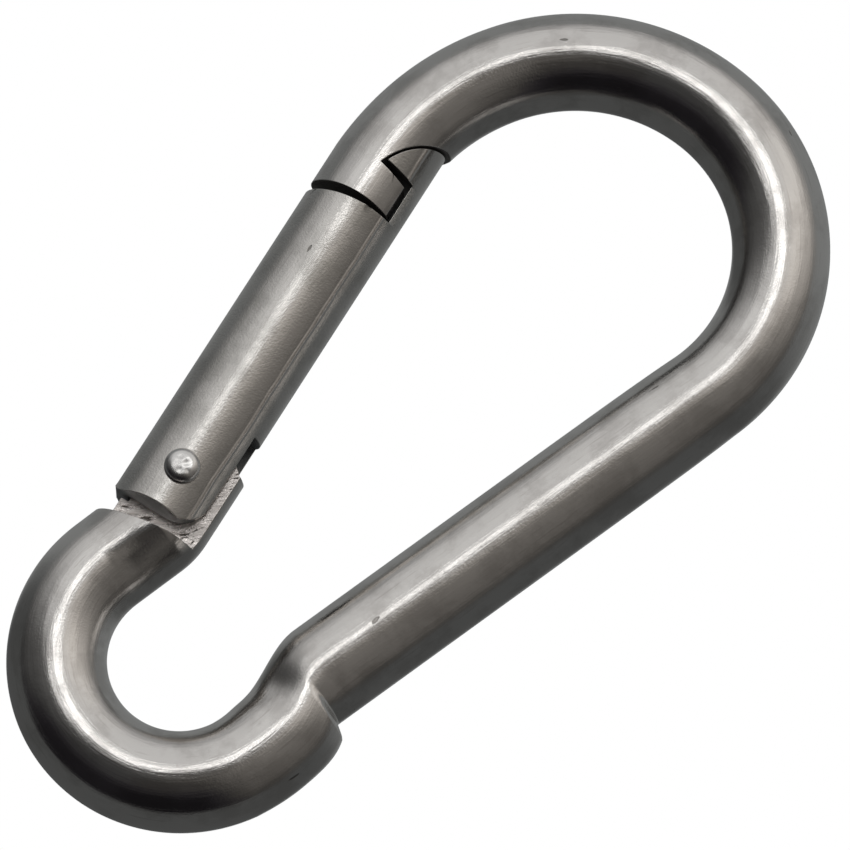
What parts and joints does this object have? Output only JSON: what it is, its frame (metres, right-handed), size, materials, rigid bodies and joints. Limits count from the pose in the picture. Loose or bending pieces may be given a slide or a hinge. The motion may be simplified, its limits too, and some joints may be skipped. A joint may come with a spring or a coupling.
{
  "type": "spring snap hook",
  "caption": "Pear-shaped snap hook bent from one round metal bar, with a small eye, a wide bow and a sprung gate that opens inwards and latches on a barbed nose.",
  "frame": {"origin": "centre of the whole hook's box, in the middle plane of the bar", "axes": "+Y from the small eye to the wide bow, +Z square to the hook's flat side, +X from the gate's side to the spine's side"},
  "size_m": [0.0506, 0.0998, 0.012],
  "materials": {
    "bright_plate": "bright nickel plate over drawn bar, with fine tool marks",
    "satin_plate": "plated and satin, with fine grinding along the gate",
    "rivet_steel": "peened, bright on top",
    "pin_steel": "turned steel",
    "spring_steel": "drawn spring wire"
  },
  "bodies": {
    "hook": {"hook_body": "bright_plate"},
    "gate": {"gate": "satin_plate", "rivet": "rivet_steel", "spring": "spring_steel"},
    "thrust_pin": {"thrust_pin": "pin_steel"}
  },
  "joints": [
    {"name": "gate_hinge", "type": "hinge", "parent": "hook", "child": "gate", "pos_m": [-0.00632, -0.02066, 0], "axis": [0, 0, -1], "range_deg": [0, 41], "stiffness_Nm_per_rad": 0.0375, "springref_deg": -57.3},
    {"name": "thrust_slide", "type": "slide", "parent": "gate", "child": "thrust_pin", "axis": [-0.3282, 0.9446, 0], "range_m": [0, 0.00107], "deforming": ["spring"]}
  ],
  "couplings": [
    {"joint": "thrust_slide", "follows": "gate_hinge", "m_per_rad": 0.0015}
  ]
}
